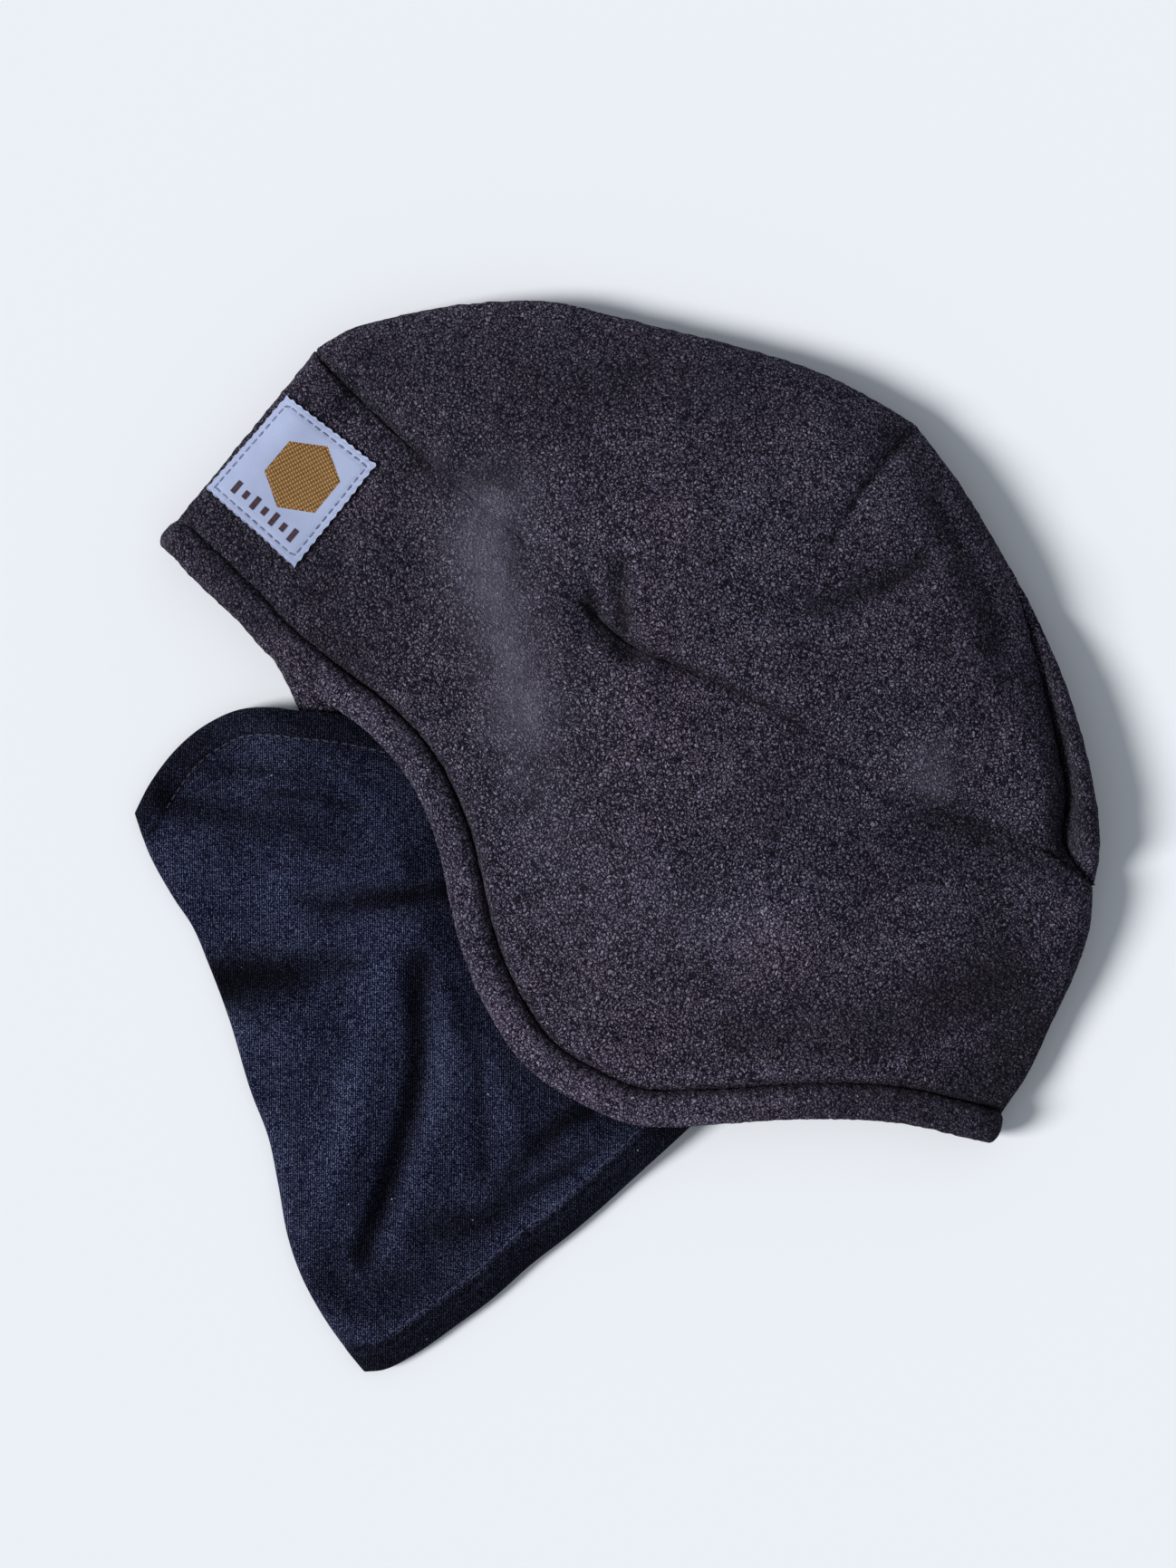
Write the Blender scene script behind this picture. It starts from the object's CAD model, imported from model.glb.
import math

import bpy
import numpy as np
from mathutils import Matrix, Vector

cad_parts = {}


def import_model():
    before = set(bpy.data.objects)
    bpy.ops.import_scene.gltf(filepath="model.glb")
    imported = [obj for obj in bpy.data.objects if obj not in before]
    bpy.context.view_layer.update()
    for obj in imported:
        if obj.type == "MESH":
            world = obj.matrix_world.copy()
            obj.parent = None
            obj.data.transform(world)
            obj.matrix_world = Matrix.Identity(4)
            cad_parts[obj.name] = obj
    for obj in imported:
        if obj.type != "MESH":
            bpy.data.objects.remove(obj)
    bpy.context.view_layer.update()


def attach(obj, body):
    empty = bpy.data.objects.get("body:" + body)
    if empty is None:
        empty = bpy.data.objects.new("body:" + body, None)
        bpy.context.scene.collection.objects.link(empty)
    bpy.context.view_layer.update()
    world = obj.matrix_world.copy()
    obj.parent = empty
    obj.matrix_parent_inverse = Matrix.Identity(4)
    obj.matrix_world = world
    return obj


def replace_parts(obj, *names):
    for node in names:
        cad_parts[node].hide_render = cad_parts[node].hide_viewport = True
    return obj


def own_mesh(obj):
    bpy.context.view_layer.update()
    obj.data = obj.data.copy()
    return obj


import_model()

# Fleece winter hat with ear flaps and a jersey face mask, lying flat on its right side.
# Lengths in this script are millimetres until a mesh is made, and X, Y, Z are the CAD frame's:
# +X from the brow to the nape, +Y to the crown's top, +Z up, towards the left side.

MM = 0.001

# ---------------------------------------------------------------- outlines in the side view

BROW_NOTCH = (-153.5, 84)
NAPE_NOTCH = (140.5, 83.5)
APEX = (13, 171)

CROWN_FRONT = [BROW_NOTCH, (-149, 94.5), (-136, 110), (-123, 122.5), (-102, 138), (-86, 144.5),
               (-66, 152), (-42, 161), (-20, 167.5), (-4, 169.8), APEX]
CROWN_BACK = [APEX, (24, 167.5), (39, 162), (56, 154.5), (75, 145), (91, 135.5), (105, 125.5),
              (119, 113.5), (131, 101), (137.5, 91), NAPE_NOTCH]
# The left half's own edge at the back, where the right half bulges past it.
LEFT_EDGE_BACK = [APEX, (24, 167.5), (39, 162), (55, 154.2), (68, 146.5), (80, 137), (92, 126.5),
                  (106, 114), (118, 101.5), (125, 89.5), NAPE_NOTCH]
SEAM_FRONT = [BROW_NOTCH, (-150, 82), (-132, 79), (-110, 75.5), (-84, 72.5), (-57, 70), (-36, 65),
              (-20, 63.5), (0, 67.5), (13, 70)]
SEAM_BACK = [(13, 70), (30, 72), (48, 72.5), (66, 69), (82, 74), (95, 79.5), (110, 82.5),
             (126, 84), NAPE_NOTCH]
LEFT_HEM = [(-160.5, 7), (-145, 4.8), (-126, 1.5), (-112, -1.8), (-90, -3.8), (-71, -4.8),
            (-55, -9), (-37, -19.5), (-22, -33), (-9, -44.5), (6, -54), (27, -62), (48, -61.5),
            (66, -57), (88, -41.5), (105, -28), (122, -16.5), (135, -9.5), (153, -2.5), (160.5, 1)]
RIGHT_HEM = [(-160.5, 7), (-145, 4), (-125, 0.5), (-111, -2.5), (-102, -6.5), (-94, -11.5),
             (-80, -20), (-60, -29), (-38, -38), (-14, -49), (10, -57), (30, -60), (50, -58),
             (70, -50), (92, -34), (115, -18), (138, -7), (153, -2.5), (160.5, 1)]

# The mask's four edges: front, mouth, neck and the hidden back.
MASK_FRONT = [(-119, -67), (-108, -75), (-94, -82), (-84, -86), (-73, -93), (-58, -103.5),
              (-40, -118), (-27, -127), (-16, -137.5), (-4, -149.5), (7, -157.5), (20, -164),
              (31, -168), (39.5, -170.5)]
MASK_MOUTH = [(-119, -67), (-120.3, -56), (-119.6, -43), (-116.5, -32), (-110.5, -22), (-102.5, -15.5),
              (-94, -11), (-86, -6.5), (-74, -1), (-60, 4)]
MASK_NECK = [(39.5, -170.5), (44.5, -166), (50, -155.5), (54.5, -143.5), (59.5, -129), (63.5, -113),
             (68, -99), (72, -84), (76, -66), (79.5, -50), (83, -34), (85, -20)]
MASK_BACK = [(-60, 4), (-20, 8), (30, 7), (62, -4), (85, -20)]

# ---------------------------------------------------------------- sizes

FLEECE = 2.8            # thickness of the fleece
BINDING_W = 10.8        # width of the rolled hem
SEAM_Z = 9.0            # height of the centre seam over the table
FLOOR_GAP = 0.35        # the fabric's fuzz keeps it this far over the table
GROOVE_Z = 14.2         # height of the left band beside its binding
GROOVE_DEPTH = 3.6      # how far the stitching pulls the band down there
LEFT_BINDING_Z, LEFT_BINDING_T = 12.4, 6.6
RIGHT_BINDING_Z, RIGHT_BINDING_T = 2.45, 4.1
HIDDEN_EDGE = 2.5       # how far the band goes in under its binding
DOME_Z, DOME_RISE = 15.5, 16                            # the left side bulges up in the middle
DOME_AT, DOME_SIZE = (4, 78), (104, 84)
WAVES = ((1.3, 46, 3), (0.55, 21, 4), (0.22, 9, 5))     # height, size and seed of the cloth's waves
NAPE_DROP = 5.5         # how far the left side falls towards the nape's corner
JERSEY = 0.9            # thickness of a layer of the mask
MASK_HEM_W = 9.5        # width of the mask's doubled hems
TABLE_GAP = 0.45        # from the table to the mask
LABEL_CORNERS = np.array([[(-156.5, 29.6), (-151.8, 67)], [(-119.9, 25), (-116.3, 65.1)]])
LABEL_W, LABEL_TURN = 38, math.radians(-7)
BAR_COUNT, BAR_PITCH, BAR_W = 7, 0.104, 0.046           # in shares of the label's side
# Depth of the crown seam along the left side, by shares of its length from the brow.
SEAM_DEPTH = [(0, 1.0), (0.03, 1.3), (0.13, 1.4), (0.17, 0.4), (0.37, 0.2), (0.40, 1.0), (0.44, 2.4),
              (0.475, 1.1), (0.6, 0.6), (0.7, 0.3), (0.84, 0.3), (0.93, 0.9), (1, 2.2)]


# ---------------------------------------------------------------- plane curves

def smooth(points, n):
    """n + 1 evenly spaced points on a centripetal Catmull-Rom curve through the given ones."""
    p = np.array(points, float)
    p = np.vstack([2 * p[0] - p[1], p, 2 * p[-1] - p[-2]])
    out = []
    for i in range(1, len(p) - 2):
        a, b, c, d = p[i - 1:i + 3]
        t1 = np.linalg.norm(b - a) ** 0.5
        t2 = t1 + np.linalg.norm(c - b) ** 0.5
        t3 = t2 + np.linalg.norm(d - c) ** 0.5
        t = np.linspace(t1, t2, 24, endpoint=False)[:, None]
        ab = a + (b - a) * t / t1
        bc = b + (c - b) * (t - t1) / (t2 - t1)
        cd = c + (d - c) * (t - t2) / (t3 - t2)
        abc, bcd = ab + (bc - ab) * t / t2, bc + (cd - bc) * (t - t1) / (t3 - t1)
        out.append(abc + (bcd - abc) * (t - t1) / (t2 - t1))
    out = np.vstack(out + [p[-2:-1]])
    return at_shares(out, np.linspace(0, 1, n + 1))


def lengths(line):
    """Length along a polyline up to each of its points."""
    return np.concatenate([[0], np.cumsum(np.linalg.norm(np.diff(line, axis=0), axis=1))])


def at_shares(line, shares):
    """Points at these shares of a polyline's length."""
    s = lengths(line)
    return np.stack([np.interp(shares * s[-1], s, line[:, k]) for k in range(line.shape[1])], axis=1)


def left_normals(line):
    """Unit normals on the left of a plane line's direction."""
    t = np.gradient(line, axis=0)
    return np.stack([-t[:, 1], t[:, 0]], axis=1) / np.linalg.norm(t, axis=1)[:, None]


def along(line, x, y):
    """Distance from each point to a plane polyline, and the share of its length there."""
    line = np.asarray(line, float)
    s = lengths(line)
    best = np.full(np.shape(x), 1e9)
    share = np.zeros(np.shape(x))
    for i in range(len(line) - 1):
        a, d = line[i], line[i + 1] - line[i]
        t = np.clip(((x - a[0]) * d[0] + (y - a[1]) * d[1]) / max(d @ d, 1e-12), 0, 1)
        dist = np.hypot(x - a[0] - t * d[0], y - a[1] - t * d[1])
        near = dist < best
        best = np.where(near, dist, best)
        share = np.where(near, (s[i] + t * (s[i + 1] - s[i])) / s[-1], share)
    return best, share


def ease(t):
    """0 to 1 as t goes from 0 to 1, with soft ends."""
    t = np.clip(t, 0, 1)
    return t * t * (3 - 2 * t)


def bulge(distance, radius):
    """0 at an edge and 1 from radius inwards, with a round shoulder."""
    return np.sqrt(1 - (1 - np.clip(distance / radius, 0, 1)) ** 2)


def spaced(n, ends):
    """n + 1 shares from 0 to 1, closer together at the ends when ends is nearer 1."""
    t = np.linspace(0, 1, n + 1)
    return ends * (1 - np.cos(np.pi * t)) / 2 + (1 - ends) * t


# ---------------------------------------------------------------- seeded noise

def hashed(ix, iy, iz, seed):
    """A number from 0 to 1 for each lattice point."""
    h = (ix * 374761393 + iy * 668265263 + iz * 2246822519 + seed * 3266489917) & 0xFFFFFFFF
    h = ((h ^ (h >> 15)) * 2246822519) & 0xFFFFFFFF
    h = ((h ^ (h >> 13)) * 3266489917) & 0xFFFFFFFF
    return (h ^ (h >> 16)) / 0xFFFFFFFF


def noise(p, size, seed=1):
    """Smooth noise from -1 to 1 at points p (..., 3), with lumps of about this size."""
    q = np.asarray(p, float) / size
    i = np.floor(q).astype(np.int64)
    f = q - i
    u = f * f * f * (f * (f * 6 - 15) + 10)
    total = 0
    for dx in (0, 1):
        for dy in (0, 1):
            for dz in (0, 1):
                w = ((u[..., 0] if dx else 1 - u[..., 0]) * (u[..., 1] if dy else 1 - u[..., 1])
                     * (u[..., 2] if dz else 1 - u[..., 2]))
                total = total + w * hashed(i[..., 0] + dx, i[..., 1] + dy, i[..., 2] + dz, seed)
    return 2 * total - 1


def noise2(x, y, size, seed=1):
    """The same noise over the plan."""
    return noise(np.stack([x, y, np.zeros_like(x)], axis=-1), size, seed)


# ---------------------------------------------------------------- the hat's lines

seam_line = np.vstack([smooth(SEAM_FRONT, 120), smooth(SEAM_BACK, 96)[1:]])
outer_line = np.vstack([smooth(CROWN_FRONT, 120), smooth(CROWN_BACK, 96)[1:]])
left_edge_line = np.vstack([smooth(CROWN_FRONT, 120), smooth(LEFT_EDGE_BACK, 96)[1:]])
left_hem = smooth(LEFT_HEM, 260)
right_hem = smooth(RIGHT_HEM, 260)
left_groove = left_hem + BINDING_W * left_normals(left_hem)
right_groove = right_hem + BINDING_W * left_normals(right_hem)
brow_fold = np.array([BROW_NOTCH, left_groove[0], LEFT_HEM[0]])
band_corner = left_hem[-1] + (BINDING_W - HIDDEN_EDGE) * left_normals(left_hem)[-1]
nape_edge = smooth([band_corner, (156.8, 24), (154.2, 40), (151.2, 58), (147, 72.5), NAPE_NOTCH], 60)
nape_fold = np.vstack([LEFT_HEM[-1], nape_edge])

# Creases of the left side: points, and width and depth from the first point to the last.
CREASES = [
    # beside the crown seam: open at the brow, a deep tuck in the middle, soft at the nape
    ([(-153, 84), (-132, 79), (-104, 73)], (7, 6), (1.4, 1.4)),
    ([(-108, 75), (-100, 74.5), (-92, 79), (-84, 84)], (3.5, 4.5), (1.6, 1.0)),
    ([(-37, 66), (-32, 63.5), (-26, 61.5), (-19, 61.5)], (2.4, 3.4), (1.2, 3.2)),
    ([(-38, 66), (-24, 61.5), (-8, 64)], (7, 8), (1.8, 1.4)),
    ([(-8, 65), (30, 72), (64, 69)], (8, 10), (1.8, 1.0)),
    ([(80, 74), (96, 79), (110, 82.5), (139, 84)], (5, 5), (1.6, 2.4)),
    # small creases that run into the seam
    ([(-38, 84), (-32.5, 75), (-26, 67)], (2.2, 2.8), (1.4, 3.4)),
    ([(-50, 80), (-42, 73), (-34, 67)], (2.2, 2.4), (0.6, 1.6)),
    ([(-116, 92), (-108, 83), (-103, 76)], (3, 2.4), (0.3, 1.2)),
    ([(-78, 88), (-72, 80), (-68, 73)], (4, 2.6), (0.3, 1.0)),
    ([(10, 84), (3, 76), (-2, 68)], (3.4, 2.4), (0.3, 1.3)),
    ([(84, 90), (80, 82), (76, 75)], (4.5, 3.4), (0.4, 1.2)),
    ([(118, 96), (106, 88), (92, 82)], (5, 4), (0.5, 1.6)),
    # the dart, and the fold that it throws below its end
    ([(13, 172), (12, 156), (11.5, 142), (12.5, 130), (13, 118)], (1.5, 1.3), (2.6, 0.9)),
    ([(13, 170), (12, 146), (13, 128)], (5.5, 5.5), (1.9, 0.8)),
    ([(40, 141), (37, 132), (31, 120), (24, 110), (14, 103)], (2.6, 3.2), (2.2, 1.2)),
    ([(44, 143), (32, 119), (16, 102)], (8, 9), (1.6, 1.6)),
    # the valley behind the left half's back ridge
    ([(16, 167), (20, 160), (33, 152), (51, 144), (62, 138.5), (72, 129)], (3.6, 5.0), (1.2, 1.9)),
    ([(17, 163), (40, 149), (70, 131), (84, 118)], (8, 10), (1.6, 2.2)),
    ([(84, 110), (98, 98), (108, 88)], (8, 8), (0.4, 1.4)),
    # slack in the band
    ([(-86, 50), (-68, 30), (-54, 12)], (10, 12), (1.4, 1.2)),
    ([(-106, 68), (-90, 50), (-80, 36)], (8, 9), (0.8, 1.4)),
    ([(-30, 30), (-4, 38), (30, 40)], (14, 14), (1.0, 1.0)),
    ([(56, -24), (86, -9), (112, 6)], (7, 8), (1.0, 2.6)),
    ([(84, 72), (104, 76), (130, 66)], (10, 12), (1.8, 2.2)),
    ([(40, 46), (66, 56), (96, 66)], (14, 14), (0.8, 1.4)),
]
# Ridges, in the same form.
RIDGES = [
    ([(-88, 76), (-68, 58), (-48, 42), (-30, 24)], (12, 13), (3.2, 1.8)),
    ([(68, 94), (78, 85), (90, 80)], (9, 9), (2.4, 1.4)),
    ([(-122, 96), (-90, 104), (-50, 112)], (14, 18), (1.4, 1.6)),
    ([(20, 158), (40, 143), (58, 130), (74, 116)], (6, 9), (1.6, 2.4)),
    ([(96, -22), (118, 0), (140, 27)], (5.5, 6), (2.6, 1.6)),
    ([(0, -20), (30, -4), (70, 12)], (24, 22), (2.0, 2.2)),
    ([(60, 40), (84, 34)], (16, 16), (1.0, 0.8)),
    ([(-20, 100), (10, 92), (44, 96)], (16, 16), (1.4, 1.2)),
]

# Where the fleece's pile lies darker (below 0) or lighter, in the same form.
FLEECE_TONES = [
    # the band's shaded front, the seam there and the blotch behind it
    ([(-156, 30), (-112, 26), (-90, 10)], (20, 14), (-0.46, -0.46)),
    ([(-108, 64), (-98, 48), (-86, 36)], (9, 8), (-0.42, -0.38)),
    ([(-152, 83.5), (-132, 79), (-106, 74.5)], (1.8, 2.0), (-0.5, -0.6)),
    ([(-106, 75), (-97, 75), (-87, 79), (-80, 88)], (4, 4), (-0.55, -0.45)),
    # the crown's shaded front
    ([(-146, 96), (-106, 106), (-72, 128), (-46, 144)], (16, 12), (-0.48, -0.44)),
    # the tuck and what runs out of it
    ([(-38, 67.5), (-32, 63.6), (-25, 61.4), (-18, 61.6)], (2.2, 3.0), (-0.8, -1.6)),
    ([(-38, 83), (-32.5, 75), (-26, 67.5)], (2.3, 2.4), (-0.7, -1.7)),
    ([(-52, 80), (-44, 73), (-37, 66)], (1.6, 2.0), (-0.2, -0.8)),
    ([(-14, 64), (12, 69.5), (34, 72.5)], (1.7, 2.0), (-1.0, -0.5)),
    ([(34, 72), (56, 71), (76, 72)], (3, 4), (-0.25, -0.1)),
    # the dart and the fold under it
    ([(13, 168), (12, 156), (11, 140), (12.5, 119)], (1.5, 1.2), (-1.0, -0.35)),
    ([(39, 136), (36, 128), (30, 118), (19, 105)], (2.0, 2.5), (-1.2, -0.8)),
    ([(36, 128), (24, 111), (10, 100)], (6, 7), (-0.25, -0.2)),
    # the valley and the gap at the back
    ([(16, 165), (33, 152), (51, 144), (62, 138.5), (71, 127)], (2.6, 4.5), (-0.35, -0.55)),
    ([(92, 130), (105, 117), (117, 104), (124, 91)], (3.5, 6), (-0.3, -1.1)),
    ([(30, 130), (56, 122), (72, 106)], (9, 10), (-0.12, -0.12)),
    ([(86, 73), (104, 77), (122, 80)], (4.5, 5), (-0.65, -0.6)),
    ([(98, 70), (114, 60), (130, 46)], (10, 13), (-0.4, -0.45)),
    # the nape corner and the valley that leads to it
    ([(74, -18), (98, 0), (118, 20), (134, 40)], (8, 12), (-0.6, -0.9)),
    ([(122, -20), (146, 8), (153, 34)], (11, 10), (-0.95, -1.0)),
    ([(84, -33), (100, -19), (117, -2), (130, 16), (141, 37)], (2.4, 3.2), (0.30, 0.34)),
    ([(40, 46), (70, 54), (84, 64)], (5, 6), (-0.12, -0.2)),
    ([(20, 52), (46, 42)], (8, 8), (-0.12, -0.12)),
    # the places that the light reaches best
    ([(-14, -12), (24, 2), (60, 22)], (17, 17), (0.26, 0.28)),
    ([(-44, -2), (-24, 16), (-8, 44)], (9, 10), (0.14, 0.10)),
    ([(-40, 102), (-6, 112), (16, 100)], (17, 17), (0.10, 0.06)),
    ([(-62, 92), (-40, 84)], (12, 12), (0.08, 0.08)),
]
# Where the pile is rubbed pale, in the same form.
FLEECE_HAZE = [
    ([(-80, 76), (-74, 64), (-64, 53), (-51, 42), (-37, 29)], (13, 12), (0.75, 0.6)),
    ([(-75, 66), (-63, 53), (-48, 40)], (6, 5), (0.25, 0.22)),
    ([(-36, 28), (-24, 14), (-6, 2)], (9, 12), (0.35, 0.12)),
    ([(76, 86), (79, 82)], (7, 7), (0.5, 0.5)),
    ([(6, -10), (30, 2), (56, 10)], (12, 12), (0.10, 0.10)),
]


def folds(x, y, features):
    """Summed height of creases or ridges at plan points."""
    total = np.zeros(np.shape(x))
    for points, widths, heights in features:
        d, s = along(points, x, y)
        width = widths[0] + (widths[1] - widths[0]) * s
        height = heights[0] + (heights[1] - heights[0]) * s
        total = total + height * np.exp(-(d / width) ** 2)
    return total


def puckers(x, y):
    """Little waves across the crown seam, where it was sewn with ease."""
    d, s = along(seam_line, x, y)
    wave = noise2(s * 300 + 0.25 * (y - 75), d * 0.12, 7.0, 11)
    return 0.85 * wave * np.exp(-(d / 13) ** 2)


def groove_strength(x):
    """The stitches beside the binding pull less near the brow."""
    return np.interp(x, (-150, -116, -92), (0.35, 0.45, 1.0))


def seam_drop(x, y):
    """How far the crown seam's stitches pull the fleece down, with a steep shoulder."""
    d, s = along(seam_line, x, y)
    depth = np.interp(s, *zip(*SEAM_DEPTH))
    return depth * (1 - bulge(d, 2.6))


def left_height(x, y, crown):
    """Top of the left side over plan points. crown says on which side of the crown seam they are."""
    x, y = np.asarray(x, float), np.asarray(y, float)
    z = DOME_Z + DOME_RISE * np.exp(-((x - DOME_AT[0]) / DOME_SIZE[0]) ** 2
                                    - ((y - DOME_AT[1]) / DOME_SIZE[1]) ** 2)
    for height, size, seed in WAVES:
        z = z + height * noise2(x, y, size, seed)
    z = z + folds(x, y, RIDGES) - folds(x, y, CREASES) + puckers(x, y)
    brow, _ = along(brow_fold, x, y)
    if crown:
        rim, s = along(left_edge_line, x, y)
        seam, _ = along(seam_line, x, y)
        z = z + 1.6 * ease(seam / 9) * np.exp(-seam / 60) - seam_drop(x, y)
        return SEAM_Z + (z - SEAM_Z) * bulge(rim, 25 - 10 * ease((s - 0.66) / 0.14))
    nape, _ = along(nape_fold, x, y)
    hem, _ = along(left_hem, x, y)
    hem = np.maximum(hem - BINDING_W, 0)
    z = GROOVE_Z + (z - GROOVE_Z) * (0.3 * bulge(hem, 9) + 0.7 * ease(hem / 62) ** 0.8)
    z = z - NAPE_DROP * ease((x - 104) / 46) * ease((70 - y) / 60) * ease(hem / 16)
    z = z - seam_drop(x, y) - GROOVE_DEPTH * groove_strength(x) * (1 - bulge(hem, 3.2))
    return SEAM_Z + (z - SEAM_Z) * bulge(brow, 13) * bulge(nape, 15)


def right_height(x, y, crown):
    """Underside of the right side, which the hat lies on."""
    if crown:
        share = bulge(along(outer_line, x, y)[0], 13)
    else:
        share = bulge(along(brow_fold, x, y)[0], 9) * bulge(along(nape_fold, x, y)[0], 9)
    return FLOOR_GAP + (SEAM_Z - FLOOR_GAP) * (1 - share)


# ---------------------------------------------------------------- meshes

def grid_normals(g):
    """Unit normals of a grid of points (rows, columns, 3)."""
    du, dv = np.gradient(g, axis=0), np.gradient(g, axis=1)
    n = np.cross(du, dv)
    return n / np.maximum(np.linalg.norm(n, axis=-1, keepdims=True), 1e-9)


def grid_faces(nu, nv, start=0, flip=False, wrap_u=False, wrap_v=False):
    """Quads between the rows and columns of a grid of points."""
    i, j = np.meshgrid(np.arange(nu if wrap_u else nu - 1), np.arange(nv if wrap_v else nv - 1),
                       indexing="ij")
    i2, j2 = (i + 1) % nu, (j + 1) % nv
    quads = np.stack([i * nv + j, i2 * nv + j, i2 * nv + j2, i * nv + j2], axis=-1).reshape(-1, 4) + start
    return quads[:, ::-1] if flip else quads


def make_mesh(name, points, faces, material, body, slot, smooth_shade=True):
    """An object from millimetre points, riding on a body."""
    mesh = bpy.data.meshes.new(name)
    mesh.from_pydata((np.asarray(points) * MM).tolist(), [], [list(map(int, f)) for f in faces])
    mesh.validate()
    mesh.update()
    if smooth_shade:
        mesh.polygons.foreach_set("use_smooth", [True] * len(mesh.polygons))
    mesh.materials.append(material)
    obj = bpy.data.objects.new(name, mesh)
    bpy.context.scene.collection.objects.link(obj)
    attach(obj, body)
    return obj


def thinned(distance, full, reach=7.0):
    """Thickness of a sheet that thins where the distance to its edge falls to 0."""
    return 0.3 + (full - 0.3) * ease(distance / reach)


def shell_points(outer, thickness, outward):
    """A closed sheet: outer grid, its inner copy and the rim between. outward is 1 or -1."""
    nu, nv = outer.shape[:2]
    thickness = np.broadcast_to(np.asarray(thickness, float), (nu, nv))[..., None]
    inner = outer - outward * grid_normals(outer) * thickness
    n = nu * nv
    points = np.vstack([outer.reshape(-1, 3), inner.reshape(-1, 3)])
    flip = outward < 0
    faces = [grid_faces(nu, nv, 0, flip), grid_faces(nu, nv, n, not flip)]
    ring = ([i * nv for i in range(nu)] + [(nu - 1) * nv + j for j in range(1, nv)]
            + [i * nv + nv - 1 for i in range(nu - 2, -1, -1)] + [j for j in range(nv - 2, 0, -1)])
    ring = np.array(ring)
    nxt = np.roll(ring, -1)
    rim = np.stack([ring, ring + n, nxt + n, nxt], axis=1)
    faces.append(rim if flip else rim[:, ::-1])
    return points, np.vstack(faces)


def tube_points(centres, widths, outs, section, closed):
    """Sweeps a closed section (k, 2), in width and outward directions, along centres."""
    ring = centres[:, None, :] + widths[:, None, :] * section[..., 0:1] + outs[:, None, :] * section[..., 1:2]
    nu, nv = ring.shape[:2]
    caps = [] if closed else [list(range(nv))[::-1], [(nu - 1) * nv + j for j in range(nv)]]
    return ring.reshape(-1, 3), [list(f) for f in grid_faces(nu, nv, 0, False, closed, True)] + caps


def refine(obj):
    """Subdivides a mesh once."""
    mod = obj.modifiers.new("smooth", "SUBSURF")
    mod.levels = mod.render_levels = 1
    depsgraph = bpy.context.evaluated_depsgraph_get()
    mesh = bpy.data.meshes.new_from_object(obj.evaluated_get(depsgraph))
    old = obj.data
    obj.modifiers.clear()
    obj.data = mesh
    bpy.data.meshes.remove(old)


def raise_pile(obj, height, size, seed):
    """Moves a fleece mesh's points along their normals, so that the pile breaks its outline."""
    mesh = obj.data
    n = len(mesh.vertices)
    co, no = np.empty(n * 3), np.empty(n * 3)
    mesh.vertices.foreach_get("co", co)
    mesh.vertex_normals.foreach_get("vector", no)
    co, no = co.reshape(-1, 3), no.reshape(-1, 3)
    lumps = 0.6 * noise(co / MM, size, seed) + 0.4 * noise(co / MM, size * 0.5, seed + 1)
    mesh.vertices.foreach_set("co", (co + no * (lumps * height * MM)[:, None]).ravel())
    mesh.update()


def paint(obj, **layers):
    """Stores each layer's value at every point of a mesh. A layer is a function of x, y in millimetres."""
    mesh = obj.data
    co = np.empty(len(mesh.vertices) * 3)
    mesh.vertices.foreach_get("co", co)
    x, y, _ = (co.reshape(-1, 3) / MM).T
    for name, values in layers.items():
        layer = mesh.attributes.new(name, "FLOAT", "POINT")
        layer.data.foreach_set("value", values(x, y).astype(np.float32))


def fleece_tone(x, y):
    """The pile's darkness (below 0) or lightness: folds, seam, groove, and the rims beside them."""
    seam, share = along(seam_line, x, y)
    hem, _ = along(left_hem, x, y)
    rim, _ = along(outer_line, x, y)
    stitched = np.interp(share, *zip(*SEAM_DEPTH)) / 3.2 * np.exp(-(seam / 1.3) ** 2)
    groove = 0.95 * groove_strength(x) * np.exp(-((hem - BINDING_W) / 1.5) ** 2)
    beside = 0.22 * np.exp(-((hem - BINDING_W - 4.5) / 2.6) ** 2) * ease((x + 20) / 30) * ease((112 - x) / 30)
    top_rim = 0.22 * np.exp(-(rim / 6) ** 2) * ease((30 - x) / 30)
    return folds(x, y, FLEECE_TONES) - 0.5 * stitched - groove + beside + top_rim


def fleece_haze(x, y):
    """How much the pile is rubbed."""
    return folds(x, y, FLEECE_HAZE)


def binding_tone(x, y):
    """The rolled hem is darker at the brow and the nape, and in its groove."""
    hem, _ = along(left_hem, x, y)
    along_hem = np.interp(x, (-160, -118, -96, 60, 100, 130, 160),
                          (-0.4, -0.4, 0.15, 0.25, -0.1, -0.55, -0.7))
    return along_hem - groove_strength(x) * np.exp(-((hem - BINDING_W) / 1.7) ** 2)


def mask_tone(x, y):
    """Folds, and the doubled hems, which lie darker with a lighter line along the stitches."""
    mouth, neck = along(mask_mouth, x, y)[0], along(mask_neck, x, y)[0]
    tone = folds(x, y, MASK_TONES)
    for edge, dark in ((mouth, 1.0), (neck, 1.5)):
        tone = tone - dark * ease((MASK_HEM_W - edge) / 1.6)
        tone = tone + 0.35 * dark * np.exp(-((edge - 0.66 * MASK_HEM_W) / 1.0) ** 2)
    hat, _ = along(left_hem, x, y)
    return tone - 0.5 * np.exp(-(hat / 3.4) ** 2)


# ---------------------------------------------------------------- materials

class Value:
    """A node's output, which can be added, subtracted and multiplied."""

    def __init__(self, nodes, socket):
        self.nodes, self.socket = nodes, socket

    def __add__(self, other):
        return self.nodes.math("ADD", self, other)

    def __sub__(self, other):
        return self.nodes.math("SUBTRACT", self, other)

    def __rsub__(self, other):
        return self.nodes.math("SUBTRACT", other, self)

    def __mul__(self, other):
        return self.nodes.math("MULTIPLY", self, other)


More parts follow.
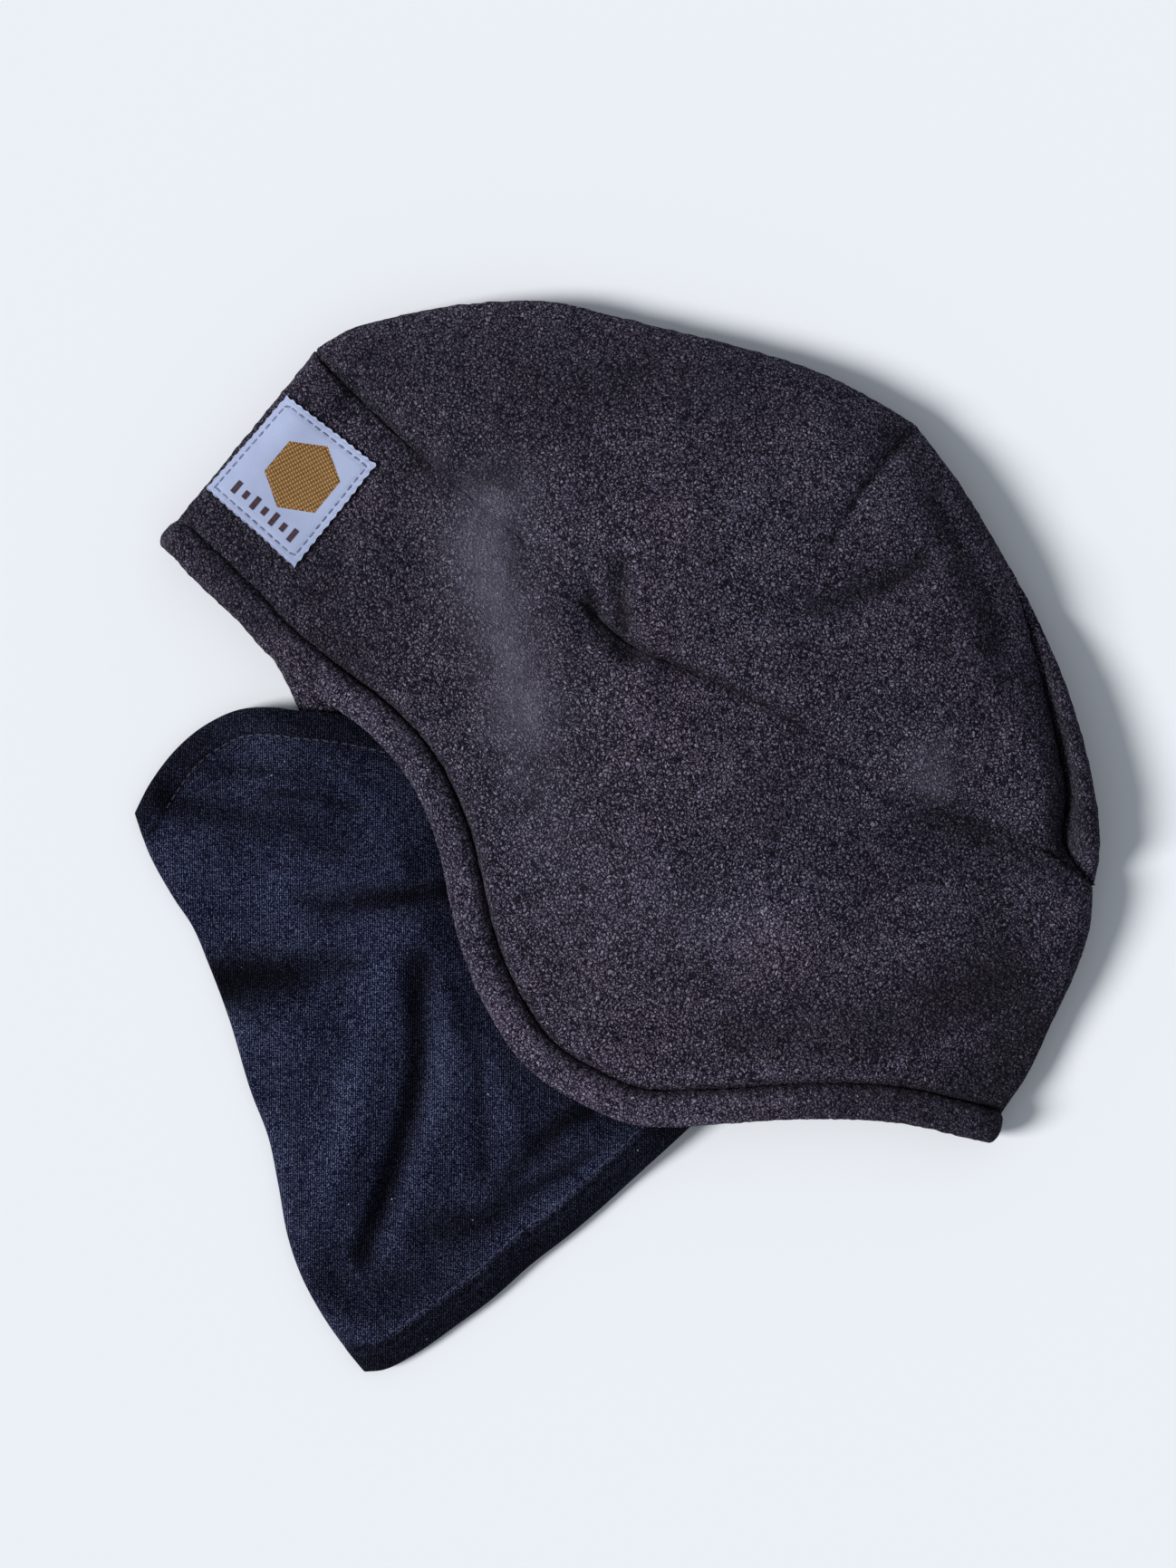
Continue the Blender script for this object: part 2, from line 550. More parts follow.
class Nodes:
    """Short names for making a material's node tree."""

    def __init__(self, name):
        self.material = bpy.data.materials.new(name)
        self.material.use_nodes = True
        self.tree = self.material.node_tree
        self.place = self.make("ShaderNodeTexCoord", "Object")

    def put(self, value, socket):
        """Links a value to a socket, or sets it to a number, a vector or a colour (alpha is 1)."""
        if isinstance(value, Value):
            self.tree.links.new(value.socket, socket)
        elif isinstance(value, tuple):
            socket.default_value = (*value, 1)[:len(socket.default_value)]
        else:
            socket.default_value = value

    def make(self, kind, output, inputs=None, **settings):
        """A new node's output, with its inputs by name or number and its settings."""
        node = self.tree.nodes.new(kind)
        for key, value in settings.items():
            setattr(node, key, value)
        for key, value in (inputs or {}).items():
            self.put(value, node.inputs[key])
        return Value(self, node.outputs[output])

    def turned(self, angle):
        """Places in millimetres, turned in the plan."""
        return self.make("ShaderNodeMapping", "Vector",
                         {"Vector": self.place, "Scale": (1 / MM, 1 / MM, 1 / MM), "Rotation": (0, 0, angle)})

    def warped(self, scale, share):
        """Places pushed about by noise, so that a pattern on them is irregular."""
        wobble = self.make("ShaderNodeTexNoise", "Color", {"Scale": scale, "Vector": self.place})
        return self.make("ShaderNodeMix", "Result", {"Factor": share, "A": self.place, "B": wobble},
                         data_type="VECTOR")

    def noise(self, scale, detail, rough, place=None, distortion=0.0):
        return self.make("ShaderNodeTexNoise", "Fac",
                         {"Scale": scale, "Detail": detail, "Roughness": rough, "Distortion": distortion,
                          "Vector": place or self.place})

    def cells(self, scale, place=None, feature="F1"):
        return self.make("ShaderNodeTexVoronoi", "Distance", {"Scale": scale, "Vector": place or self.place},
                         feature=feature)

    def wave(self, scale, place, direction, distortion, detail_scale=1.0):
        return self.make("ShaderNodeTexWave", "Fac",
                         {"Scale": scale, "Distortion": distortion, "Detail": 1.0,
                          "Detail Scale": detail_scale, "Vector": place}, bands_direction=direction)

    def math(self, operation, a, b=0.0, clamp=False):
        return self.make("ShaderNodeMath", 0, {0: a, 1: b}, operation=operation, use_clamp=clamp)

    def remap(self, value, low, high, to_low=0.0, to_high=1.0):
        return self.make("ShaderNodeMapRange", "Result",
                         {"Value": value, "From Min": low, "From Max": high, "To Min": to_low,
                          "To Max": to_high})

    def ramp(self, value, stops):
        colour = self.make("ShaderNodeValToRGB", "Color", {"Fac": value})
        elements = colour.socket.node.color_ramp.elements
        while len(elements) < len(stops):
            elements.new(0.5)
        for element, (position, stop) in zip(elements, stops):
            element.position = position
            element.color = (*stop, 1)
        return colour

    def mix(self, share, a, b, kind="MIX"):
        return self.make("ShaderNodeMix", "Result", {"Factor": share, "A": a, "B": b},
                         data_type="RGBA", blend_type=kind)

    def painted(self, layer):
        return self.make("ShaderNodeAttribute", "Fac", attribute_name=layer)

    def toned(self, colour):
        """The colour, darker or lighter by the tone that paint() stored."""
        return self.make("ShaderNodeVectorMath", "Vector",
                         {"Vector": colour, "Scale": self.math("EXPONENT", self.painted("tone"))},
                         operation="SCALE")

    def bump(self, height, distance, strength=1.0):
        """A normal from heights, of which 1 stands for this many millimetres."""
        return self.make("ShaderNodeBump", "Normal",
                         {"Strength": strength, "Distance": distance * MM, "Height": height})

    def finish(self, colour, normal, roughness, **sockets):
        """Fills in the shader and returns the material. _ stands for a space in a socket's name."""
        shader = self.tree.nodes["Principled BSDF"]
        for key, value in {"Base Color": colour, "Normal": normal, "Roughness": roughness, **sockets}.items():
            self.put(value, shader.inputs[key.replace("_", " ")])
        return self.material


def fleece_material(name, haze=0.0, brushed=0.0):
    """Pilled fleece: lumps a little over 1 mm wide with dark cracks between, and fine fibres."""
    n = Nodes(name)
    place = n.warped(430, 0.0030)
    edge = n.cells(850, place, "DISTANCE_TO_EDGE")
    domes = n.remap(edge, 0.0, 0.42)
    curls = n.remap(n.noise(1550, 2, 0.6, place, 0.5), 0.34, 0.66) - 0.5
    fibres = n.remap(n.noise(3200, 2, 0.6), 0.34, 0.66)
    rubbed = n.remap(n.noise(140, 3, 0.6), 0.36, 0.64)
    mottle = n.remap(n.noise(34, 4, 0.6), 0.3, 0.7)
    worn = n.math("MULTIPLY", n.painted("haze"), 0.8, clamp=True) if haze else 0.0
    depth = n.math("SUBTRACT", (1.0 - 0.3 * brushed) - rubbed * 0.3, worn, clamp=True)
    cracks = (1.0 - n.remap(edge, 0.0, 0.2)) * depth
    height = curls * 0.5 + domes * 0.55 - cracks * 0.5 + fibres * 0.25
    shade = curls * (1.0 - worn * 0.4) * 0.5 + (fibres - 0.5) * 0.42 + 0.615 - cracks * 0.76
    tone = shade + n.remap(mottle, 0, 1, -0.075, 0.075)
    colour = n.ramp(tone, [(0.05, (0.0015, 0.0006, 0.0052)), (0.25, (0.0062, 0.0040, 0.0135)),
                           (0.42, (0.046, 0.0390, 0.0705)), (0.58, (0.130, 0.1145, 0.180)),
                           (0.76, (0.235, 0.214, 0.300)), (0.95, (0.44, 0.42, 0.51))])
    brown = n.remap(n.noise(26, 2, 0.5), 0.45, 0.7, 0.0, 0.55)
    colour = n.mix(brown, colour, (1.10, 0.93, 0.96), "MULTIPLY")
    if haze:
        colour = n.mix(worn * haze, colour, (0.14, 0.137, 0.175))
    lint = n.remap(n.cells(150), 0.04, 0.025, 0.0, 0.5)
    colour = n.mix(lint, n.toned(colour), (0.42, 0.40, 0.44))
    return n.finish(colour, n.bump(height, 1.5), 0.95, Sheen_Weight=0.06, Sheen_Roughness=0.5,
                    Sheen_Tint=(0.66, 0.62, 0.78, 1), Specular_IOR_Level=0.06)


def jersey_material(name):
    """Fine knit: wales 0.7 mm apart with short stitches across them, slightly napped."""
    n = Nodes(name)
    turned = n.turned(math.radians(-34))
    wales = n.wave(0.45, turned, "X", 1.2, 1.2)
    courses = n.wave(0.62, turned, "Y", 1.6, 2.0)
    grain = n.remap(n.noise(2100, 2, 0.7), 0.3, 0.7)
    nap = n.remap(n.noise(520, 3, 0.65), 0.3, 0.7)
    mottle = n.remap(n.noise(42, 4, 0.6), 0.3, 0.7)
    height = wales * 0.3 + (courses * 0.15 + grain * 0.7)
    blotches = n.remap(mottle, 0, 1, -0.06, 0.06) + n.remap(nap, 0, 1, -0.06, 0.06)
    tone = (n.remap(height, 0.15, 1.0, -0.1, 0.9) + blotches - 0.42) * 1.45 + 0.42
    colour = n.ramp(tone, [(0.0, (0.0006, 0.0007, 0.0042)), (0.35, (0.0042, 0.0049, 0.0165)),
                           (0.6, (0.0138, 0.0164, 0.046)), (1.0, (0.135, 0.158, 0.26))])
    lint = n.remap(n.cells(105), 0.035, 0.02, 0.0, 0.7)
    colour = n.mix(lint, n.toned(colour), (0.4, 0.42, 0.48))
    return n.finish(colour, n.bump(height, 0.34), 0.9, Sheen_Weight=0.02, Sheen_Roughness=0.45,
                    Sheen_Tint=(0.5, 0.58, 0.85, 1), Specular_IOR_Level=0.05)


def thread_material(name, dark, light):
    """Spun thread, mottled at about 1 mm."""
    n = Nodes(name)
    twist = n.noise(900, 2, 0.5)
    colour = n.ramp(twist, [(0.3, dark), (0.7, light)])
    return n.finish(colour, n.bump(twist, 0.15, 0.7), 0.7, Sheen_Weight=0.2, Specular_IOR_Level=0.3)


def label_material(name):
    """Woven satin with fine ribs along the label's turn."""
    n = Nodes(name)
    turned = n.turned(-LABEL_TURN)
    height = n.wave(0.62, turned, "Y", 0.25) * 0.7 + n.wave(1.1, turned, "X", 0.4) * 0.3
    colour = n.ramp(height * 0.55 + n.noise(60, 3, 0.6) * 0.5,
                    [(0.1, (0.20, 0.245, 0.40)), (0.55, (0.32, 0.375, 0.565)), (0.95, (0.45, 0.51, 0.70))])
    return n.finish(colour, n.bump(height, 0.12, 0.7), 0.55, Sheen_Weight=0.15, Specular_IOR_Level=0.4)


def weave_material(name, dark, light):
    """Coarse weave: threads over and under in two directions."""
    n = Nodes(name)
    turned = n.turned(math.radians(28))
    crossing = n.wave(0.26, turned, "X", 0.5) * n.wave(0.36, turned, "Y", 0.5)
    threads = crossing * 0.8 + n.noise(1400, 2, 0.6) * 0.45
    colour = n.ramp(threads, [(0.15, dark), (0.75, light)])
    return n.finish(colour, n.bump(threads, 0.25, 0.8), 0.6, Sheen_Weight=0.05, Specular_IOR_Level=0.3)


FLEECE_MAT = fleece_material("fleece", haze=0.55)
BINDING_MAT = fleece_material("binding_fleece", brushed=0.6)
JERSEY_MAT = jersey_material("jersey")
FLEECE_THREAD = thread_material("fleece_thread", (0.006, 0.005, 0.009), (0.03, 0.027, 0.036))
MASK_THREAD = thread_material("mask_thread", (0.004, 0.0045, 0.010), (0.040, 0.045, 0.080))
LABEL_MAT = label_material("label_satin")
LABEL_GOLD = weave_material("label_gold", (0.070, 0.030, 0.006), (0.38, 0.20, 0.05))
LABEL_DARK = thread_material("label_dark", (0.020, 0.008, 0.018), (0.055, 0.022, 0.036))
LABEL_BLUE = thread_material("label_thread", (0.07, 0.09, 0.17), (0.2, 0.235, 0.36))
CARE_MAT = thread_material("care_ribbon", (0.42, 0.42, 0.39), (0.6, 0.6, 0.56))

# Thread in each place: its material, body and slot.
HAT_THREAD = (FLEECE_THREAD, "hat", "fleece_thread")
FACE_THREAD = (MASK_THREAD, "mask", "mask_thread")
LABEL_THREAD = (LABEL_BLUE, "hat", "label_dark")


# ---------------------------------------------------------------- fleece panels

def shares_of(line, count, ends):
    """count + 1 points along a polyline, spaced as spaced() says."""
    return at_shares(line, spaced(count, ends))


def crown_lines():
    """Matching points along the crown seam, the outline and the left half's own edge."""
    lines = [np.vstack([shares_of(line[:121], 92, 0.3), shares_of(line[120:], 72, 0.3)[1:]])
             for line in (seam_line, outer_line, left_edge_line)]
    seam, outline, edge = lines
    seam[0] += (0.8, -0.4)
    seam[-1] += (-0.6, -0.3)
    for line in (outline, edge):
        line[0] += (0.9, 1.3)
        line[-1] += (-0.3, 0.9)
    return seam, outline, edge


def towards(a, b):
    """Unit directions from points a to points b."""
    d = b - a
    return d / np.maximum(np.linalg.norm(d, axis=1), 1e-6)[:, None]


def left_crown():
    """Grid and thickness of the left crown, from the seam out to a rim that turns in."""
    seam, _, edge = crown_lines()
    v = spaced(58, 0.65)
    plan = seam[:, None] + (edge - seam)[:, None] * v[None, :, None]
    top = np.dstack([plan, left_height(plan[..., 0], plan[..., 1], True)])
    thickness = thinned(along(left_edge_line, plan[..., 0], plan[..., 1])[0], FLEECE)
    narrow = np.clip(np.linalg.norm(edge - seam, axis=1) / 15, 0.1, 1)
    top[:, -1, 2] = SEAM_Z + 1.0 * narrow
    inward = towards(edge, seam)
    for step, rise in ((0.45, 0.35), (1.1, 0.08)):
        row = np.column_stack([edge + inward * (step * narrow)[:, None], SEAM_Z + rise * narrow])
        top = np.concatenate([top, row[:, None, :]], axis=1)
        thickness = np.column_stack([thickness, np.full(len(row), 0.2)])
    return top, thickness


def right_crown():
    """Grid and thickness of the right crown: flat below, up round the rim, and rolled in over
    its own edge at the back, where it bulges past the left half."""
    seam, outline, edge = crown_lines()
    v = spaced(34, 0.6)
    plan = seam[:, None] + (outline - seam)[:, None] * v[None, :, None]
    grid = np.dstack([plan, right_height(plan[..., 0], plan[..., 1], True)])
    thickness = thinned(along(outer_line, plan[..., 0], plan[..., 1])[0], FLEECE)
    narrow = np.clip(np.linalg.norm(outline - seam, axis=1) / 15, 0.1, 1)
    grid[:, -1, 2] = SEAM_Z - 1.0 * narrow
    overhang = np.linalg.norm(outline - edge, axis=1)
    target = edge + towards(edge, seam) * (1.1 * narrow * (1 - ease(overhang / 5)))[:, None]
    height = 8.6 * ease(overhang / 11)
    for share in (0.05, 0.14, 0.28, 0.45, 0.62, 0.78, 0.9, 0.97, 1.0):
        lift = height * math.sin(math.pi * share ** 0.72) ** 0.6 if share < 1 else 0 * height
        xy = outline + (target - outline) * share
        z = SEAM_Z - 1.0 * narrow * (1 - share) ** 2 + lift
        grid = np.concatenate([grid, np.column_stack([xy, z])[:, None, :]], axis=1)
        thickness = np.column_stack([thickness, np.full(len(xy), 0.2)])
    return grid, thickness


def band_grid():
    """The ear band as one strip: left side from the nape to the brow, round the fold, and back under."""
    seam = shares_of(seam_line, 176, 0.45)
    v = spaced(62, 0.6)
    bow = at_shares(nape_edge, v) - (nape_edge[0] + (nape_edge[-1] - nape_edge[0]) * v[:, None])
    near_nape = ease((np.linspace(0, 1, len(seam)) - 0.72) / 0.28)
    sides, thickness = [], []
    for hem, height in ((left_hem, left_height), (right_hem, right_height)):
        hidden = shares_of(hem + (BINDING_W - HIDDEN_EDGE) * left_normals(hem), 176, 0.45)
        plan = hidden[:, None] + (seam - hidden)[:, None] * v[None, :, None]
        plan = plan + near_nape[:, None, None] * bow[None]
        x, y = plan[..., 0], plan[..., 1]
        sides.append(np.dstack([plan, height(x, y, False)]))
        edge = np.minimum(along(hem, x, y)[0] - BINDING_W + HIDDEN_EDGE, along(nape_fold, x, y)[0])
        thickness.append(thinned(edge, FLEECE, 9))
    return (np.concatenate([sides[0][::-1], sides[1][1:]], axis=0),
            np.concatenate([thickness[0][::-1], thickness[1][1:]], axis=0))


def fleece_panel(name, grid, thickness, outward, replaced):
    """A panel with its pile raised and its tones painted on."""
    points, faces = shell_points(grid, thickness, outward)
    obj = make_mesh(name, points, faces, FLEECE_MAT, "hat", "fleece")
    refine(obj)
    raise_pile(obj, 0.36, 2.6, 21)
    paint(obj, tone=fleece_tone, haze=fleece_haze)
    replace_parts(obj, *replaced)
    return obj


def hem_path():
    """Centres, width directions and outward directions of the binding, once round the opening:
    along the left hem to the brow, down round the fold, back along the right hem and up."""
    left = shares_of(left_hem, 300, 0.1)[::-1]
    right = shares_of(right_hem, 300, 0.1)
    middle, radius = (LEFT_BINDING_Z + RIGHT_BINDING_Z) / 2, (LEFT_BINDING_Z - RIGHT_BINDING_Z) / 2
    trim = 9        # points left out at each end, where the binding turns to the other side
    centres, widths, outs = [], [], []

    def put(xy, z, w, out):
        centres.append((*xy, z))
        widths.append((*w, 0.0))
        outs.append(out)

    for line, ways, z, up, ahead_x in ((left, -left_normals(left), LEFT_BINDING_Z, 1, -1),
                                       (right, left_normals(right), RIGHT_BINDING_Z, -1, 1)):
        for p, w in zip(line[trim:-trim], ways[trim:-trim]):
            put(p + w * BINDING_W / 2, z, w, (0, 0, up))
        p, w = line[-trim - 1], ways[-trim - 1]
        ahead = np.array([w[1], -w[0]])
        ahead = ahead * np.sign(ahead[0]) * ahead_x
        reach = max(float((line[-1] - p) @ ahead) - LEFT_BINDING_T / 2 + 1.3, 1.0)
        for t in np.linspace(0, math.pi, 15)[1:-1]:
            xy = p + w * BINDING_W / 2 + ahead * (math.sin(t) * reach)
            put(xy, middle + up * math.cos(t) * radius, w, (*(ahead * math.sin(t)), up * math.cos(t)))
    return np.array(centres), np.array(widths), np.array(outs)


def binding_section(centres):
    """A rolled hem's section at each centre, with the stitches' pull on its inner side."""
    t = np.linspace(0, 2 * math.pi, 32, endpoint=False)
    power = 2 / 2.3
    w = np.sign(np.cos(t)) * np.abs(np.cos(t)) ** power
    n = np.sign(np.sin(t)) * np.abs(np.sin(t)) ** power
    share = np.clip((centres[:, 2] - RIGHT_BINDING_Z) / (LEFT_BINDING_Z - RIGHT_BINDING_Z), 0, 1)
    thick = RIGHT_BINDING_T + (LEFT_BINDING_T - RIGHT_BINDING_T) * share
    s = lengths(centres)
    soft = 1 + 0.09 * noise2(s, 0 * s, 19, 8) + 0.05 * noise2(s, 0 * s, 7, 9)
    pull = 0.3 * np.sin(s * 2 * math.pi / 3.4) * (1 + 0.6 * noise2(s, 0 * s, 12, 10))
    slope = 1 - 0.2 * ease((w[None, :] - 0.1) / 0.9) - 0.12 * ease((-0.4 - w[None, :]) / 0.6)
    height = n[None, :] * (thick / 2 * soft)[:, None] * slope
    height = height + (n[None, :] > 0.1) * pull[:, None] * ease((w[None, :] - 0.1) / 0.6)
    width = w[None, :] * (BINDING_W / 2 + 0.1 + 0.25 * noise2(s, 0 * s, 24, 12))[:, None]
    return np.dstack([width, height])


def edge_binding():
    """The rolled hem, as one closed tube."""
    centres, widths, outs = hem_path()
    points, faces = tube_points(centres, widths, outs, binding_section(centres), True)
    obj = make_mesh("edge_binding", points, faces, BINDING_MAT, "hat", "binding")
    refine(obj)
    raise_pile(obj, 0.3, 2.3, 31)
    paint(obj, tone=binding_tone)
    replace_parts(obj, "left_edge_binding", "right_edge_binding")
    return obj


# ---------------------------------------------------------------- mask

mask_front, mask_mouth = smooth(MASK_FRONT, 150), smooth(MASK_MOUTH, 110)
mask_neck, mask_back = smooth(MASK_NECK, 110), smooth(MASK_BACK, 150)

MASK_CREASES = [
    ([(-112, -55), (-96, -50), (-82, -41), (-62, -26)], (4.5, 2.6), (2.4, 1.6)),
    ([(-80, -22), (-66, -14)], (2.5, 2.5), (0.8, 0.8)),
    ([(-100, -38), (-84, -28), (-70, -22)], (2.2, 2.0), (0.7, 0.9)),
    ([(-62, -57), (-50, -51), (-38, -42), (-24, -30)], (3.0, 4.0), (1.2, 4.6)),
    ([(-74, -98), (-66, -92), (-56, -82), (-48, -75), (-36, -68)], (7.5, 3.0), (4.6, 1.2)),
    ([(-18, -56), (-9, -67), (0, -80), (6, -94), (11, -110), (16, -126), (19, -139)], (4.5, 4.0), (3.4, 3.2)),
    ([(2, -54), (12, -66), (24, -82), (36, -98)], (3.0, 3.0), (1.6, 0.8)),
    ([(36, -93), (44, -79), (52, -63)], (3.6, 3.4), (2.0, 3.4)),
    ([(33, -124), (40, -117), (47, -106), (56, -86), (62, -68)], (5.0, 2.4), (2.2, 1.4)),
    ([(14, -150), (26, -152), (34, -146)], (5, 5), (1.6, 1.2)),
]
MASK_RIDGES = [
    ([(-92, -66), (-66, -54), (-40, -36)], (8, 8), (2.0, 2.6)),
    ([(-52, -96), (-36, -84), (-20, -70)], (9, 8), (2.0, 2.2)),
    ([(-34, -98), (-18, -88), (-8, -106), (0, -130)], (8, 6), (2.4, 2.6)),
    ([(-4, -58), (8, -76), (18, -96), (24, -128)], (6, 7), (1.3, 0.9)),
    ([(20, -62), (30, -74), (40, -84)], (4.5, 4), (1.4, 1.6)),
    ([(38, -104), (48, -88), (57, -70)], (3.4, 3.2), (1.4, 1.8)),
    ([(-30, -50), (-22, -42)], (6, 6), (1.6, 1.6)),
    ([(-110, -44), (-92, -36), (-72, -30)], (4, 4), (0.9, 1.2)),
]
MASK_TONES = [
    ([(-115, -58), (-104, -55), (-90, -49), (-78, -42), (-62, -38)], (4.2, 5.5), (-0.7, -0.6)),
    ([(-118, -50), (-100, -33), (-78, -15), (-62, -4)], (11, 9), (-0.3, -0.3)),
    ([(-88, -38), (-76, -31), (-60, -25)], (1.7, 1.5), (-0.9, -0.7)),
    ([(-112, -44), (-96, -36), (-80, -24)], (2.4, 2.0), (-0.4, -0.3)),
    ([(-60, -60), (-52, -57), (-44, -48.5), (-34, -40), (-22, -29)], (3.2, 3.2), (-0.8, -2.2)),
    ([(-68, -97), (-62, -90), (-54, -83), (-46, -74), (-34, -66)], (8, 2.4), (-1.6, -0.6)),
    ([(-63, -94), (-56, -86), (-48, -82)], (8.5, 6), (-0.7, -0.6)),
    ([(-19, -54), (-11, -67), (-2, -80), (5, -94), (10, -110), (18, -140)], (3.6, 3.4), (-1.5, -1.7)),
    ([(2, -54), (18, -74), (28, -87), (39, -103)], (2.2, 2.2), (-0.5, -0.35)),
    ([(50, -64), (46, -72), (43, -86), (42, -98)], (3.2, 3.0), (-1.9, -0.8)),
    ([(34, -120), (41, -114), (48, -98), (58, -74)], (6, 2.2), (-1.2, -0.8)),
    ([(14, -154), (28, -148), (44, -128)], (9, 8), (-0.65, -0.45)),
    ([(-26, -66), (-18, -84), (-8, -104), (-2, -124)], (6, 6), (0.28, 0.30)),
    ([(-84, -70), (-64, -58)], (9, 8), (0.15, 0.18)),
    ([(0, -64), (14, -84), (22, -104)], (5, 5), (-0.06, 0.0)),
    ([(26, -62), (46, -76), (62, -50)], (12, 12), (-0.3, -0.35)),
    ([(40, -104), (50, -88), (58, -72)], (1.8, 1.8), (0.4, 0.5)),
]


def mask_plan(nu, nv):
    """Coons patch over the mask: u from the mouth edge to the neck edge, v from the front inwards."""
    u, v = spaced(nu, 0.35), spaced(nv, 0.35)
    f, b = at_shares(mask_front, u), at_shares(mask_back, u)
    m, k = at_shares(mask_mouth, v), at_shares(mask_neck, v)
    uu, vv = u[:, None, None], v[None, :, None]
    p = (1 - vv) * f[:, None] + vv * b[:, None] + (1 - uu) * m[None] + uu * k[None]
    corners = ((1 - uu) * (1 - vv) * f[0] + uu * (1 - vv) * f[-1] + (1 - uu) * vv * b[0] + uu * vv * b[-1])
    return p - corners


def mask_floor(x, y):
    """Height of the mask's lowest surface: on the table outside, up over the right hem inside."""
    out, _ = along(right_hem, x, y)
    hem_y = np.interp(x, right_hem[:, 0], right_hem[:, 1])
    inside = (y > hem_y) & (x > -160)
    signed = np.where(inside, -out, out)
    over = RIGHT_BINDING_Z + RIGHT_BINDING_T / 2 + 0.55
    return TABLE_GAP + (over - TABLE_GAP) * ease((30 - signed) / 26)


def mask_heights(x, y):
    """Undersides of the right and left layers over plan points."""
    low = mask_floor(x, y)
    front, _ = along(mask_front, x, y)
    mouth, _ = along(mask_mouth, x, y)
    neck, _ = along(mask_neck, x, y)
    hem_y = np.interp(x, left_hem[:, 0], left_hem[:, 1])
    under = ease((y - hem_y + 16) / 16)
    loft = 4.6 + 0.9 * noise2(x, y, 38, 41) + 0.35 * noise2(x, y, 13, 42)
    relief = (folds(x, y, MASK_RIDGES) - folds(x, y, MASK_CREASES)) * bulge(front, 16)
    gap = loft + 1.25 * relief * (1 - under)
    gap = 1.35 + (gap - 1.35) * bulge(np.minimum(mouth, neck), 16)
    gap = 1.25 + np.logaddexp(0, 1.6 * (gap - 1.25)) / 1.6
    gap = np.minimum(gap, 9.5)
    gap = gap + (1.45 - gap) * under
    gap = 0.9 + (gap - 0.9) * bulge(front, 9)
    return low, low + gap


def mask_layer(name, top, replaced):
    """One layer of the mask. The top one shows the steps of its doubled hems."""
    plan = mask_plan(170, 150)
    x, y = plan[..., 0], plan[..., 1]
    low, high = mask_heights(x, y)
    mouth, _ = along(mask_mouth, x, y)
    neck, _ = along(mask_neck, x, y)
    hem = np.minimum(mouth, neck - 1.5)
    if top:
        step = 0.55 * ease((MASK_HEM_W - hem) / 0.9) - 0.5 * np.exp(-((hem - MASK_HEM_W + 0.9) / 0.7) ** 2)
        z = high + JERSEY + step * (0.2 + 0.8 * bulge(np.minimum(mouth, neck), 2.5))
    else:
        z = low
    grid = np.dstack([plan, z])
    points, faces = shell_points(grid, JERSEY, 1 if top else -1)
    obj = make_mesh(name, points, faces, JERSEY_MAT, "mask", "jersey")
    paint(obj, tone=mask_tone)
    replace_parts(obj, replaced)
    return obj


# ---------------------------------------------------------------- threads and strips

def rod(length, radius):
    """A stitch along X: rings of a rounded rod, lying half sunk."""
    rings, k = [], 8
    for t in np.linspace(0, math.pi, 7)[1:-1]:
        r = radius * math.sin(t) ** 0.5
        a = np.linspace(0, 2 * math.pi, k, endpoint=False)
        rings.append(np.column_stack([np.full(k, -math.cos(t) * length / 2),
                                      r * np.cos(a), r * 0.8 * np.sin(a)]))
    faces = [list(f) for f in grid_faces(len(rings), k, 0, True, False, True)]
    last = len(rings) - 1
    return np.vstack(rings), faces + [list(range(k)), [last * k + j for j in range(k)][::-1]]


def stitches(name, line, pitch, length, radius, look, replaced):
    """Threads laid end to end along a 3-D line, each following its slope."""
    s = lengths(line)
    base, cell = rod(length, radius)
    points, faces = [], []
    for d in np.arange(pitch / 2, s[-1], pitch):
        a = at_shares(line, np.array([max(d - length / 2, 0), min(d + length / 2, s[-1])]) / s[-1])
        way = a[1] - a[0]
        way = way / max(np.linalg.norm(way), 1e-9)
        side = np.cross((0, 0, 1), way)
        side = side / max(np.linalg.norm(side), 1e-9)
        start = len(points) * len(base)
        points.append(a.mean(0) + base @ np.stack([way, side, np.cross(way, side)]))
        faces += [[i + start for i in f] for f in cell]
    obj = make_mesh(name, np.vstack(points), faces, *look)
    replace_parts(obj, replaced)
    return obj


def strip(name, line, width, thickness, look, *replaced):
    """A flat strip of overlocked allowance along a 3-D line, its edges whipped with thread."""
    way = np.gradient(line, axis=0)
    side = np.cross((0, 0, 1), way)
    side = side / np.maximum(np.linalg.norm(side, axis=1), 1e-9)[:, None]
    out = np.cross(way, side)
    out = out / np.linalg.norm(out, axis=1)[:, None]
    whip = 0.18 * np.sin(lengths(line) * 2 * math.pi / 2.2)
    t = np.linspace(0, 2 * math.pi, 12, endpoint=False)
    w = np.sign(np.cos(t)) * np.abs(np.cos(t)) ** 0.5
    h = np.sign(np.sin(t)) * np.abs(np.sin(t)) ** 0.5
    section = np.dstack([w[None] * (width / 2 + whip[:, None]),
                         h[None] * (thickness / 2 + 0.5 * whip[:, None])])
    points, faces = tube_points(line, side, out, section, False)
    obj = make_mesh(name, points, faces, *look)
    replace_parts(obj, *replaced)
    return obj


# ---------------------------------------------------------------- label

def label_point(i, j):
    """Plan point at shares i, j of the label's sides, which pull a little out of square."""
    i, j = np.asarray(i, float)[..., None], np.asarray(j, float)[..., None]
    (bottom_left, top_left), (bottom_right, top_right) = LABEL_CORNERS
    p = ((1 - i) * (1 - j) * bottom_left + i * (1 - j) * bottom_right
         + (1 - i) * j * top_left + i * j * top_right)
    return p[..., 0], p[..., 1]


def label_height(x, y):
    """The band's surface without its small waves, on which the stiff label bridges."""
    near = np.maximum(x, np.interp(y, brow_fold[::-1, 1], brow_fold[::-1, 0]) + 0.8)
    return left_height(near, y, False) + 0.5


